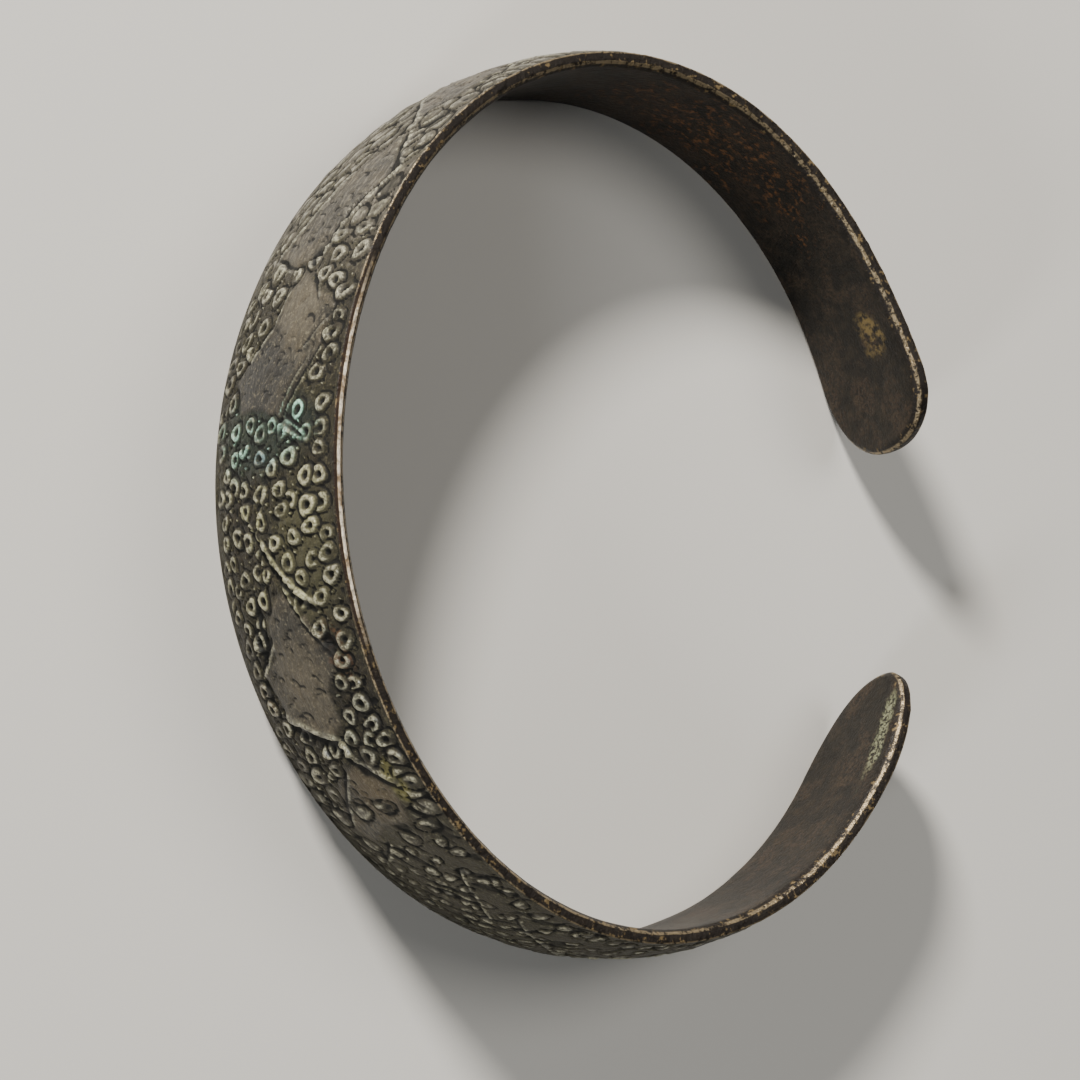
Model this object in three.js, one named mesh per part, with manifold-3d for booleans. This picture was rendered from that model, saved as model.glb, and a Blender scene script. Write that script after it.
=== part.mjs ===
// An ancient open arm ring of cast bronze: a flat band bent to an oval hoop, highest at the back and
// lower towards two tongue-shaped ends, its outer face punched with small ring-and-dot marks round
// plain lozenge fields. It lies on its lower edge, with the hoop's axis along Z and the gap at +X.
import * as THREE from "three";
import { mergeVertices } from "three/addons/utils/BufferGeometryUtils.js";
import Module from "manifold-3d";

// The hoop seen from above, millimetres and degrees. Turns are counted from +X towards +Y.
const HOOP_RADIUS = 33;
const OUT_OF_ROUND = [
  { waves: 2, cos: -0.087, sin: -0.017 }, // an oval, longer along Y
  { waves: 3, cos: -0.008, sin: -0.004 }, // a little egg-shaped
  { waves: 4, cos: 0.005, sin: 0.002 }, // a little square
];
const FIRST_TIP_DEG = 13.3;
const SECOND_TIP_DEG = 337;
const BACK_DEG = 180;

// The band's height, as a polynomial of the turn from the back, which is -1 or 1 half way round.
const BACK_HEIGHT = 18.9;
const HEIGHT_TERMS = [-0.8, -23.6, 0.2, 20.9];
const LEAN = 0.055; // the wall leans over towards +X, as share of its height
const WALL = 1.2; // thickness at the edges
const CROWN = 1.15; // how far the outer face bulges between its edges, at the back
const EDGE_FLAT = 0.75; // width of the flat edge face, before the bevel
const BEVEL = 0.55; // the inner corners are worn back by this much

// The tongue ends: how long the rounding is, and how far the tip lies above the band's middle.
const FIRST_END = { length: 7, tipRise: -1.1 };
const SECOND_END = { length: 10, tipRise: 1.3 };

// The plain fields between the marks: corners as distance along the band from the back and height.
const FIELDS = [
  [[-66, 6.4], [-58, 10.4], [-50, 7], [-58, 3.4]],
  [[-46, 9], [-40, 13], [-34, 13.8], [-31.5, 11.8], [-35, 8.2], [-41, 5.6]],
  [[-29, 12.4], [-25.5, 15.2], [-17.4, 11.5], [-16.4, 9], [-18.2, 4.2], [-25.2, 9.4]],
  [[-16, 10.9], [-12.8, 16.4], [-9, 15.6], [-3.9, 12], [-5.2, 5.4], [-7.8, 3.9], [-11.8, 8.6]],
  [[9.5, 10.4], [15.6, 15], [20.4, 11.8], [21.4, 9.6], [19.2, 4.8], [15.4, 4.2], [14.4, 7]],
  [[23.6, 10.8], [26.2, 13.8], [29.4, 12.6], [30.6, 5.6], [28.6, 4.2], [25, 7]],
  [[52, 6], [59, 9.6], [66, 6.2], [59, 3]],
];
const GROOVE_HALF_WIDTH = 0.28;
const GROOVE_DEPTH = 0.3;
const GROOVE_STEP = 2.6; // a groove follows the curved face in steps of about this length

// The ring-and-dot marks. In the solid each is its sunk dot; the marks are closer and smaller beyond
// FINE_FROM, and stop short of the plain tongue ends.
const MARK_SPACING = 2.05;
const FINE_SPACING = 1.7;
const FINE_FROM = 33;
const MARK_SHIFT = 0.3; // each mark is off its row by up to this share of the spacing
const MARK_FROM_EDGE = 1.35;
const MARK_FROM_FIELD = 1;
const PLAIN_END = 13;
const DOT_RADIUS = 0.42;
const DOT_DEPTH = 0.28;
const DOT_SIDES = 4;

// How finely the surface is divided.
const STATION_STEP = 2.1;
const STATIONS_ROUND_END = 7;
const FACE_COLUMNS = 6;
const INNER_COLUMNS = 2;
const CUTTER_LIFT = 0.4; // cutters start this far above the face

const BRONZE = new THREE.MeshStandardMaterial({
  color: 0x3b3831,
  roughness: 0.55,
  metalness: 0.7,
});

const radians = THREE.MathUtils.degToRad;

// The arris between the outer face and the edges, as distance from the hoop's axis.
function hoopRadius(angle) {
  const change = OUT_OF_ROUND.reduce(
    (sum, { waves, cos, sin }) => sum + cos * Math.cos(waves * angle) + sin * Math.sin(waves * angle),
    0,
  );
  return HOOP_RADIUS * (1 + change);
}

// Distance along the hoop against its angle, from the first tip, in small steps.
function measureHoop() {
  const steps = 2000;
  const [from, to] = [radians(FIRST_TIP_DEG), radians(SECOND_TIP_DEG)];
  const table = [{ angle: from, along: 0 }];
  let last = new THREE.Vector2(hoopRadius(from), 0).rotateAround(new THREE.Vector2(), from);
  for (let i = 1; i <= steps; i++) {
    const angle = from + ((to - from) * i) / steps;
    const point = new THREE.Vector2(hoopRadius(angle), 0).rotateAround(new THREE.Vector2(), angle);
    table.push({ angle, along: table[i - 1].along + point.distanceTo(last) });
    last = point;
  }
  return table;
}

const HOOP = measureHoop();
const BAND_LENGTH = HOOP.at(-1).along;
const BACK_ALONG = HOOP.find(({ angle }) => angle >= radians(BACK_DEG)).along;

// The hoop's angle at a distance along the band from the first tip.
function angleAt(along) {
  const i = Math.max(1, HOOP.findIndex((row) => row.along >= Math.min(along, BAND_LENGTH - 1e-9)));
  const [a, b] = [HOOP[i - 1], HOOP[i]];
  return a.angle + ((b.angle - a.angle) * (along - a.along)) / (b.along - a.along);
}

function fullHeight(along) {
  const turn = (angleAt(along) - radians(BACK_DEG)) / Math.PI;
  return HEIGHT_TERMS.reduce((sum, term, i) => sum + term * turn ** (i + 1), BACK_HEIGHT);
}

// The band's lower and upper edge, rounded off at the tongue ends.
function edgesAt(along) {
  const nearFirst = along < BAND_LENGTH / 2;
  const end = nearFirst ? FIRST_END : SECOND_END;
  const fromTip = nearFirst ? along : BAND_LENGTH - along;
  const half = fullHeight(along) / 2;
  const share = Math.sqrt(1 - Math.max(0, 1 - fromTip / end.length) ** 2);
  const middle = half + end.tipRise * (1 - share);
  return { low: middle - half * share, high: middle + half * share, half: half * share };
}

// A point of the part: distance along the band, height, and how far outside the hoop's line.
function place(along, height, out) {
  const angle = angleAt(along);
  const radius = hoopRadius(angle) + out;
  return new THREE.Vector3(radius * Math.cos(angle) + LEAN * height, radius * Math.sin(angle), height);
}

// A point on the outer face, or lifted off it.
function onFace(along, height, lift = 0) {
  const { low, half } = edgesAt(along);
  const across = half > 0 ? (height - low) / half - 1 : 0;
  const crown = (CROWN * half) / (BACK_HEIGHT / 2);
  return place(along, height, crown * Math.max(0, 1 - across * across) + lift);
}

// Where the band is divided along its length: closer together round the two ends.
function stations() {
  const round = (length) =>
    Array.from({ length: STATIONS_ROUND_END }, (_, i) =>
      length * (1 - Math.cos((Math.PI / 2) * (i / STATIONS_ROUND_END))),
    );
  const straight = BAND_LENGTH - FIRST_END.length - SECOND_END.length;
  const count = Math.round(straight / STATION_STEP);
  const middle = Array.from({ length: count + 1 }, (_, i) => FIRST_END.length + (straight * i) / count);
  const last = round(SECOND_END.length).map((d) => BAND_LENGTH - d).reverse();
  return [...round(FIRST_END.length), ...middle, ...last];
}

// The inner face's corner beside an edge point: moved in by BEVEL, square to the edge's line.
function bevelPoint(all, i, side) {
  const before = all[Math.max(0, i - 1)];
  const after = all[Math.min(all.length - 1, i + 1)];
  const isTip = i === 0 || i === all.length - 1;
  const run = new THREE.Vector2(after - before, edgesAt(after)[side] - edgesAt(before)[side]).normalize();
  const turn = side === "low" ? 1 : -1;
  const inward = isTip
    ? new THREE.Vector2(i === 0 ? 1 : -1, 0)
    : new THREE.Vector2(-run.y * turn, run.x * turn);
  return new THREE.Vector2(all[i], edgesAt(all[i])[side]).addScaledVector(inward, BEVEL);
}

// One ring of points round the band's section: up the outer face, over the top edge, down the inside.
function sectionRing(all, i) {
  const { low, high } = edgesAt(all[i]);
  const face = Array.from({ length: FACE_COLUMNS + 1 }, (_, j) =>
    onFace(all[i], low + ((high - low) * j) / FACE_COLUMNS),
  );
  const [top, bottom] = [bevelPoint(all, i, "high"), bevelPoint(all, i, "low")];
  const inside = Array.from({ length: INNER_COLUMNS + 1 }, (_, j) => {
    const point = top.clone().lerp(bottom, j / INNER_COLUMNS);
    return place(point.x, point.y, -WALL);
  });
  return [...face, place(all[i], high, -EDGE_FLAT), ...inside, place(all[i], low, -EDGE_FLAT)];
}

// A closed geometry from rings of points; triangles that shrink to nothing at the tips are dropped.
function skin(rings, caps) {
  const size = rings[0].length;
  const points = rings.flat();
  const triangles = [];
  for (let i = 0; i + 1 < rings.length; i++)
    for (let j = 0; j < size; j++) {
      const [a, b] = [i * size + j, i * size + ((j + 1) % size)];
      triangles.push([a, a + size, b + size], [a, b + size, b]);
    }
  if (caps)
    for (let j = 1; j + 1 < size; j++) {
      const end = points.length - size;
      triangles.push([0, j, j + 1], [end, end + j + 1, end + j]);
    }
  const loose = new THREE.BufferGeometry().setFromPoints(points);
  loose.setIndex(triangles.flat());
  const merged = mergeVertices(loose, 1e-4);
  const index = Array.from(merged.index.array);
  const kept = [];
  for (let k = 0; k < index.length; k += 3) {
    const [a, b, c] = index.slice(k, k + 3);
    if (a !== b && b !== c && a !== c) kept.push(a, b, c);
  }
  merged.setIndex(kept);
  return merged;
}

// A V-shaped cutter along one straight side of a field, bent to the outer face.
function grooveCutter([fromAlong, fromHeight], [toAlong, toHeight]) {
  const [from, to] = [
    new THREE.Vector2(fromAlong + BACK_ALONG, fromHeight),
    new THREE.Vector2(toAlong + BACK_ALONG, toHeight),
  ];
  const run = to.clone().sub(from);
  const steps = Math.max(1, Math.round(run.length() / GROOVE_STEP));
  const side = new THREE.Vector2(-run.y, run.x).normalize();
  const widen = (GROOVE_HALF_WIDTH * (GROOVE_DEPTH + CUTTER_LIFT)) / GROOVE_DEPTH;
  const rings = Array.from({ length: steps + 1 }, (_, i) => {
    const at = from.clone().lerp(to, i / steps);
    const [left, right] = [-widen, widen].map((w) => at.clone().addScaledVector(side, w));
    return [
      onFace(left.x, left.y, CUTTER_LIFT),
      onFace(right.x, right.y, CUTTER_LIFT),
      onFace(at.x, at.y, -GROOVE_DEPTH),
    ];
  });
  return skin(rings, true);
}

// A small pointed cutter for the sunk dot of a mark.
function dotCutter([along, height]) {
  const radius = (DOT_RADIUS * (DOT_DEPTH + CUTTER_LIFT)) / DOT_DEPTH;
  const ring = Array.from({ length: DOT_SIDES }, (_, k) => {
    const angle = (2 * Math.PI * k) / DOT_SIDES;
    const [a, h] = [along + radius * Math.cos(angle), height + radius * Math.sin(angle)];
    return onFace(a, h, CUTTER_LIFT);
  });
  const tip = onFace(along, height, -DOT_DEPTH);
  return skin([ring, ring.map(() => tip)], true);
}

// Whether a point is inside a field's outline or within a distance of it.
function nearField(field, x, y, reach) {
  let inside = false;
  let nearest = Infinity;
  field.forEach(([ax, ay], i) => {
    const [bx, by] = field[(i + 1) % field.length];
    if (ay > y !== by > y && x < ax + ((bx - ax) * (y - ay)) / (by - ay)) inside = !inside;
    const line = new THREE.Line3(new THREE.Vector3(ax, ay), new THREE.Vector3(bx, by));
    const closest = line.closestPointToPoint(new THREE.Vector3(x, y), true, new THREE.Vector3());
    nearest = Math.min(nearest, closest.distanceTo(new THREE.Vector3(x, y)));
  });
  return inside || nearest < reach;
}

// A fixed number from 0 to 1 for each whole number, so that the marks look hand-set.
function scatter(n) {
  const wave = Math.sin(n * 12.9898) * 43758.5453;
  return wave - Math.floor(wave);
}

// The marks' centres: a row along each edge, then staggered rows that fill the ground between.
function markCentres() {
  const marks = [];
  const spacingAt = (x) => (x > FINE_FROM ? FINE_SPACING : MARK_SPACING);
  const offer = (along, height) => {
    const x = along - BACK_ALONG;
    const { low, high } = edgesAt(along);
    const clearOfEdges = height > low + MARK_FROM_EDGE - 0.01 && height < high - MARK_FROM_EDGE + 0.01;
    const clearOfFields = !FIELDS.some((field) => nearField(field, x, height, MARK_FROM_FIELD));
    const room = 0.9 * spacingAt(x);
    const clearOfMarks = marks.every(([a, h]) => Math.hypot(a - along, h - height) > room);
    if (clearOfEdges && clearOfFields && clearOfMarks) marks.push([along, height]);
  };
  const [from, to] = [PLAIN_END, BAND_LENGTH - PLAIN_END];
  for (let along = from; along < to; along += spacingAt(along - BACK_ALONG)) {
    offer(along, edgesAt(along).high - MARK_FROM_EDGE);
    offer(along, edgesAt(along).low + MARK_FROM_EDGE);
  }
  let count = 0;
  let column = 0;
  for (let along = from; along < to; along += 0.87 * spacingAt(along - BACK_ALONG), column++) {
    const spacing = spacingAt(along - BACK_ALONG);
    for (let height = (column % 2) * (spacing / 2); height < BACK_HEIGHT; height += spacing, count++) {
      const [da, dh] = [scatter(count) - 0.5, scatter(count + 0.5) - 0.5];
      offer(along + 2 * MARK_SHIFT * spacing * da, height + 2 * MARK_SHIFT * spacing * dh);
    }
  }
  return marks;
}

// Set so that the part's box is centred on X and Y, with its lower edge at Z = 0.
function centred(geometry) {
  geometry.computeBoundingBox();
  const { min, max } = geometry.boundingBox;
  return geometry.translate(-(min.x + max.x) / 2, -(min.y + max.y) / 2, -min.z);
}

const wasm = await Module();
wasm.setup();

function solid(geometry) {
  const vertProperties = geometry.attributes.position.array;
  const triVerts = new Uint32Array(geometry.index.array);
  return new wasm.Manifold(new wasm.Mesh({ numProp: 3, vertProperties, triVerts }));
}

function armRing() {
  const all = stations();
  const band = solid(skin(all.map((_, i) => sectionRing(all, i)), false));
  const grooves = FIELDS.flatMap((field) =>
    field.map((corner, i) => solid(grooveCutter(corner, field[(i + 1) % field.length]))),
  );
  const dots = markCentres().map((mark) => solid(dotCutter(mark)));
  const carved = band.subtract(wasm.Manifold.union([...grooves, ...dots]));
  const { vertProperties, triVerts } = carved.getMesh();
  const geometry = new THREE.BufferGeometry();
  geometry.setAttribute("position", new THREE.BufferAttribute(vertProperties, 3));
  geometry.setIndex(new THREE.BufferAttribute(triVerts, 1));
  const mesh = new THREE.Mesh(centred(geometry), BRONZE);
  mesh.name = "arm_ring";
  return mesh;
}

const part = new THREE.Group();
part.add(armRing());
export default part;
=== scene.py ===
# %% [markdown]
# # An ancient bronze arm ring
# The real thing is one flat band of bronze, cast, bent round into an open hoop and punched all over
# its outer face with small ring-and-dot marks that leave a few plain lozenge fields. It has lain in
# the ground for a long time, so a dark brown skin of corrosion covers it, green in places, and it is
# rubbed back to metal only along its edges.
#
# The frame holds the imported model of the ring. Everything here is fitted to it, in metres.

# %% Load the frame
import math

import bmesh
import bpy
import numpy as np
from mathutils import Matrix, Vector, noise


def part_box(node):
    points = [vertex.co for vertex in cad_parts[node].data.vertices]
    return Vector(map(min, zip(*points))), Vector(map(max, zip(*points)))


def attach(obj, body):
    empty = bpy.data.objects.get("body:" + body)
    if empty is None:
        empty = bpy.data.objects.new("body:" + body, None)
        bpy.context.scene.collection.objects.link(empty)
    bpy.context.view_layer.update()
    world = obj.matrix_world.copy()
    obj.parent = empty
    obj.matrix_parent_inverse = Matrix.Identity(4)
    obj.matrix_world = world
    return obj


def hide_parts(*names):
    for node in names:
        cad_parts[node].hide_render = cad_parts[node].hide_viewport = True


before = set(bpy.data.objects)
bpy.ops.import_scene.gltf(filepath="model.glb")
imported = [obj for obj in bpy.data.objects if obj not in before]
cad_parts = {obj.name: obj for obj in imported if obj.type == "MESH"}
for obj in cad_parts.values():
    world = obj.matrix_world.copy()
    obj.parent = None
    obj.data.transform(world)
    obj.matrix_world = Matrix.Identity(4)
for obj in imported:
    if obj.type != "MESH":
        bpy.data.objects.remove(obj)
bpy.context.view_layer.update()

MM = 0.001
RING_NODE = "arm_ring"
box_low, box_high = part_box(RING_NODE)
print("the ring's box in mm:", [round((b - a) / MM, 1) for a, b in zip(box_low, box_high)])

# %% [markdown]
# ## The hoop's line
# Seen from above, the hoop is nearly an oval. A circle whose radius swells and shrinks a little as it
# goes round gives such a shape from very few numbers: two waves make an oval, three an egg, four a
# square with round corners. The band is then measured along this line, as a jeweller would measure it
# flat, with zero at the middle of the back. It could be drawn as a curve by hand, but then nothing
# could be placed on it by a distance in millimetres.

# %% The hoop's line
HOOP_RADIUS = 33.0
OUT_OF_ROUND = ((2, -0.087, -0.017), (3, -0.008, -0.004), (4, 0.005, 0.002))
FIRST_TIP, BACK, SECOND_TIP = (math.radians(turn) for turn in (13.3, 180.0, 337.0))


def hoop_radius(angle):
    swell = sum(c * np.cos(n * angle) + s * np.sin(n * angle) for n, c, s in OUT_OF_ROUND)
    return HOOP_RADIUS * (1 + swell)


fine_angles = np.linspace(FIRST_TIP, SECOND_TIP, 2001)
fine_x = hoop_radius(fine_angles) * np.cos(fine_angles)
fine_y = hoop_radius(fine_angles) * np.sin(fine_angles)
fine_along = np.concatenate([[0.0], np.cumsum(np.hypot(np.diff(fine_x), np.diff(fine_y)))])
fine_along -= np.interp(BACK, fine_angles, fine_along)
FIRST_END, SECOND_END = fine_along[0], fine_along[-1]
print("the band is", round(SECOND_END - FIRST_END, 1), "mm long, measured round the hoop")

# %% [markdown]
# ## The band's edges
# The band is highest at the back and lower towards the ends, where it swells a little before it is
# rounded off like a tongue. Its lower edge is flat, because the ring lies on it. A polynomial gives
# the height, and a quarter of an ellipse at each end gives the tongue.

# %% The band's edges
BACK_HEIGHT = 18.9
HEIGHT_TERMS = (-0.8, -23.6, 0.2, 20.9)
FIRST_TONGUE, SECOND_TONGUE = 7.0, 10.0
FIRST_TIP_RISE, SECOND_TIP_RISE = -1.1, 1.3


def full_height(along):
    turn = (np.interp(along, fine_along, fine_angles) - BACK) / math.pi
    return BACK_HEIGHT + sum(term * turn ** (i + 1) for i, term in enumerate(HEIGHT_TERMS))


def edges_at(along):
    """The height of the lower and of the upper edge at a distance along the band."""
    along = np.asarray(along, float)
    near_first = along < 0
    tongue = np.where(near_first, FIRST_TONGUE, SECOND_TONGUE)
    rise = np.where(near_first, FIRST_TIP_RISE, SECOND_TIP_RISE)
    from_tip = np.where(near_first, along - FIRST_END, SECOND_END - along)
    share = np.sqrt(1 - np.clip(1 - from_tip / tongue, 0, 1) ** 2)
    half = full_height(along) / 2
    middle = half + rise * (1 - share)
    return middle - half * share, middle + half * share


for spot in (-60.0, 0.0, 60.0):
    print("height at", spot, "mm:", round(float(np.ptp(edges_at(spot))), 1), "mm")

# %% [markdown]
# ## Where the marks and the plain fields go
# The smith left plain fields, some of them bounded by graver lines, and filled the ground between
# them with a ring punch. The fields, and the marks that catch the eye, are set where the photograph
# shows them, by their distance along the band and their height on it. They could be painted as a
# picture and wrapped round the band, but a few numbers are easier to read and to change.

# %% The fields, and the rows of marks that show best
FIELDS = (
    ((-66, 6.4), (-58, 10.4), (-50, 7), (-58, 3.4)),
    ((-46, 9), (-40, 13), (-34, 13.8), (-31.5, 11.8), (-35, 8.2), (-41, 5.6)),
    ((-29, 12.4), (-25.5, 15.2), (-17.4, 11.5), (-16.4, 9), (-18.2, 4.2), (-21.6, 7.4), (-25.2, 9.4)),
    (
        ((-16, 10.9), (-14.2, 12.7), (-12.8, 16.4), (-9, 15.6), (-3.9, 12))
        + ((-4.7, 9.6), (-5.2, 5.4), (-7.8, 3.9), (-9.6, 6), (-11.8, 8.6), (-14.2, 9.4))
    ),
    (
        ((9.5, 10.4), (11.6, 13), (15.6, 15), (17.4, 12.4), (20.4, 11.8))
        + ((21.4, 9.6), (19.2, 4.8), (15.4, 4.2), (14.4, 7), (11.4, 7.6))
    ),
    ((23.6, 10.8), (26.2, 13.8), (29.4, 12.6), (29.3, 9), (30.6, 5.6), (28.6, 4.2), (25, 7)),
    ((52, 6), (59, 9.6), (66, 6.2), (59, 3)),
)
# Each row has its height, and the places along the band.
SEEN_ROWS = (
    (17.3, (-17.1, -11.6, -4.4, -2.5, -0.9, 1.1, 3.2, 5.8, 8.9, 11.9)),
    (16.2, (-23.6, -21.2, -19.3, -7.2)),
    (15.6, (-26.8, -14.6, -2.5, 1.0, 3.2, 4.9, 7.3, 10.3, 15.3, 17.4, 19.1, 20.9)),
    (14.4, (-29.2, -21.7, -16.9, -4.2, 16.9, 21.9)),
    (13.6, (-33.0, -18.8, -15.3, -0.7, 2.4, 5.3, 8.6, 19.7)),
    (12.3, (-31.0, 3.1, 7.3)),
    (11.0, (-3.2, -0.1, 5.5, 27.7, 30.9)),
    (9.2, (-2.8, -0.9, 1.8, 4.0)),
    (7.5, (-14.4, -3.8, 7.5, 9.6, 27.8)),
    (6.7, (-11.7, 1.2, 2.9)),
    (4.9, (-14.8, -3.5, -1.6, 0.9, 4.7, 10.1, 22.5)),
    (3.3, (-13.1, -11.2, -9.1, -6.1, -0.4, 1.5, 6.6, 8.7, 11.7, 20.1)),
    (2.3, (3.1, 4.9, 13.4, 15.0, 16.8, 18.4, 23.4)),
)
print(len(FIELDS), "fields and", len(SEEN_ROWS), "rows of marks")

# %% [markdown]
# No smith strikes in step, so the layout needs chance. It also has to come out the same each time,
# so a fixed formula stands for chance. A mark has to keep off the fields, so another helper tells
# how deep inside a field's outline a place is.

# %% Helpers for laying out
def scatter(n):
    """A number from 0 to 1 that looks like chance and is always the same for the same n."""
    wave = math.sin(n * 12.9898) * 43758.5453
    return wave - math.floor(wave)


def side_distance(a, b, x, y):
    """The distance of points x, y from the straight line between corners a and b."""
    run = np.subtract(b, a)
    share = np.clip(((x - a[0]) * run[0] + (y - a[1]) * run[1]) / (run @ run), 0, 1)
    return np.hypot(x - a[0] - share * run[0], y - a[1] - share * run[1])


def sides(field):
    return list(zip(field, field[1:] + field[:1]))


def field_depth(field, x, y):
    """How far points are inside a field, or, below zero, outside it."""
    inside = np.zeros(np.shape(x), bool)
    for (ax, ay), (bx, by) in sides(field):
        if ay != by:
            crosses = (ay > y) != (by > y)
            inside ^= crosses & (x < ax + (bx - ax) * (y - ay) / (by - ay))
    nearest = np.min([side_distance(a, b, x, y) for a, b in sides(field)], axis=0)
    return np.where(inside, nearest, -nearest)


print("a place in the third field is", round(float(field_depth(FIELDS[2], -22, 11)), 1), "mm inside it")

# %% [markdown]
# The other marks are laid by a rule: each is offered a place, and takes it if it is clear of the
# edges, of the fields and of the marks before it. Towards the second end the punch is finer and its
# marks stand further apart. All marks are a little taller than wide.

# %% Rules for the marks
MARK_RADIUS, FINE_RADIUS = 0.88, 0.6
MARK_STEP, FINE_STEP = 1.6, 1.3
CROWDING, FINE_CROWDING = 0.8, 1.15
FINE_FROM, PLAIN_END = 31.0, 13.0
MARK_TALL, MARK_SHIFT = 1.28, 0.34
MARK_FROM_EDGE, MARK_FROM_FIELD = 1.25, 0.75
ROUNDING = 0.01
marks = []


def punch_at(place):
    """The radius of the punch at a place along the band, and the step between its marks."""
    return (FINE_RADIUS, FINE_STEP) if place > FINE_FROM else (MARK_RADIUS, MARK_STEP)


def offer(along, height, radius, from_edge=MARK_FROM_EDGE, from_field=MARK_FROM_FIELD):
    """Adds a mark if its place is clear."""
    low, high = (float(edge) for edge in edges_at(along))
    clear = low + from_edge - ROUNDING < height < high - from_edge + ROUNDING
    clear = clear and all(field_depth(f, along, height) < -from_field for f in FIELDS)
    room = (math.hypot(a - along, (h - height) / MARK_TALL) / (r + radius) for a, h, r in marks)
    crowding = FINE_CROWDING if along > FINE_FROM else CROWDING
    if clear and all(share > crowding for share in room):
        marks.append((along, height, radius))


def shifted(n, step):
    """How far a mark strays from its place, along the band and in height."""
    return [2 * MARK_SHIFT * step * (scatter(n + part) - 0.5) for part in (0, 0.5)]


print("the punches are", 2 * MARK_RADIUS, "and", 2 * FINE_RADIUS, "mm across")

# %% Lay out the marks
SEEN_STEP = 0.5
EDGE_GAPS, EDGE_WANDER, EDGE_STRIDE = 0.35, 0.5, 0.25
COLUMN_STRIDE = 0.8

for height, places in SEEN_ROWS:
    for along in places:
        sideways, up = shifted(len(marks), SEEN_STEP)
        marks.append((along + sideways, height + up, MARK_RADIUS * (0.86 + 0.2 * scatter(along))))
seen_count = len(marks)
# A row along each edge comes first.
place, count = FIRST_END + PLAIN_END, 0
while place < SECOND_END - PLAIN_END:
    radius, step = punch_at(place)
    edge_low, edge_high = (float(edge) for edge in edges_at(place))
    if scatter(round(place / step)) > EDGE_GAPS:
        offer(place, edge_high - MARK_FROM_EDGE - EDGE_WANDER * scatter(count), radius)
        offer(place, edge_low + MARK_FROM_EDGE + EDGE_WANDER * scatter(count + 0.5), radius)
    place += EDGE_STRIDE * step
    count += 1
# Staggered columns fill the face.
place, column = FIRST_END + PLAIN_END, 0
while place < SECOND_END - PLAIN_END:
    radius, step = punch_at(place)
    for height in np.arange((column % 2) * step / 2, BACK_HEIGHT, step):
        sideways, up = shifted(count, step)
        offer(place + sideways, float(height) + up, radius * (0.84 + 0.24 * scatter(count + 0.25)))
        count += 1
    place += COLUMN_STRIDE * step
    column += 1
full_count = len(marks)
print(seen_count, "marks from the photograph and", full_count - seen_count, "more")

# %% [markdown]
# Now and then the punch slipped and was struck twice, and small pips stand in the gaps between the
# marks of the back. Both break up the pattern, as on the real band.

# %% Add second strokes and pips
DOUBLE_SHARE, DOUBLE_STEP, DOUBLE_SIZE, DOUBLE_FROM_FIELD = 0.16, 0.75, 0.85, 0.6
PIPS_BETWEEN, PIP_STEP, PIP_RADIUS = (-20.0, 27.0), 0.7, 0.42
PIP_FROM_EDGE, PIP_FROM_FIELD = 0.7, 0.5

for n, (along, height, radius) in enumerate(marks[seen_count:full_count]):
    if scatter(n + 0.6) < DOUBLE_SHARE:
        turn = 2 * math.pi * scatter(n + 0.1)
        moved = (along + DOUBLE_STEP * math.cos(turn), height + DOUBLE_STEP * math.sin(turn))
        if all(field_depth(f, *moved) < -DOUBLE_FROM_FIELD for f in FIELDS):
            marks.append((*moved, DOUBLE_SIZE * radius))
struck_count = len(marks)
for place in np.arange(*PIPS_BETWEEN, PIP_STEP):
    for height in np.arange(0, BACK_HEIGHT, PIP_STEP):
        sideways, up = shifted(count, PIP_STEP)
        radius = PIP_RADIUS * (0.7 + 0.5 * scatter(count))
        offer(float(place) + sideways, float(height) + up, radius, PIP_FROM_EDGE, PIP_FROM_FIELD)
        count += 1
print(struck_count - full_count, "second strokes and", len(marks) - struck_count, "pips")

# %% [markdown]
# ## One grid for the whole skin
# The ring's skin could be built from separate faces that are joined afterwards. A single grid is
# simpler: its columns run round the band's section, up the outer face, over the top edge, down the
# inner face and under the lower edge, and its rows run from one tip to the other. The outer face has
# most of the columns, because its punched marks need a point about every fifth of a millimetre.

# %% Choose the rows and columns
FACE_COLUMNS, INNER_COLUMNS = 88, 9
ROW_STEP = 0.21
TONGUE_ROWS = 26
# The edge's section: how far in from the outline, and how far out from the hoop's line.
EDGE_SECTION = (
    (0.02, -0.04),
    (0.0, -0.16),
    (0.0, -0.45),
    (0.0, -0.7),
    (0.06, -0.8),
    (0.3, -1.0),
    (0.5, -1.14),
)
FACE_INSET, INNER_INSET = 0.08, 0.68
# The wall at the edges, how far the face is crowned at the back, and how the wall leans as it rises.
WALL, CROWN, LEAN = 1.2, 1.15, 0.055

quarter = 1 - np.cos(np.linspace(0, math.pi / 2, TONGUE_ROWS, endpoint=False))
body_from, body_to = FIRST_END + FIRST_TONGUE, SECOND_END - SECOND_TONGUE
body = np.linspace(body_from, body_to, round((body_to - body_from) / ROW_STEP) + 1)
first_rows = FIRST_END + FIRST_TONGUE * quarter
last_rows = (SECOND_END - SECOND_TONGUE * quarter)[::-1]
rows = np.concatenate([first_rows, body, last_rows])
row_count = len(rows)
columns_round = FACE_COLUMNS + 1 + len(EDGE_SECTION) + INNER_COLUMNS + 1 + len(EDGE_SECTION)
triangle_count = 2 * (row_count - 1) * columns_round
print(row_count, "rows of", columns_round, "points:", triangle_count, "triangles, before the tips close")

# %% [markdown]
# ## From the flat sheet to the band
# Each row's points are first laid out flat, as distance along the band and height, with the worn
# corners set in square to the outline, so that the tongue ends get the same corners as the long
# edges. Then each point gets how far out it stands: the outer face is crowned, the inner face flat.

# %% Lay the section out along the band
low_edge, high_edge = edges_at(rows)


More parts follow.
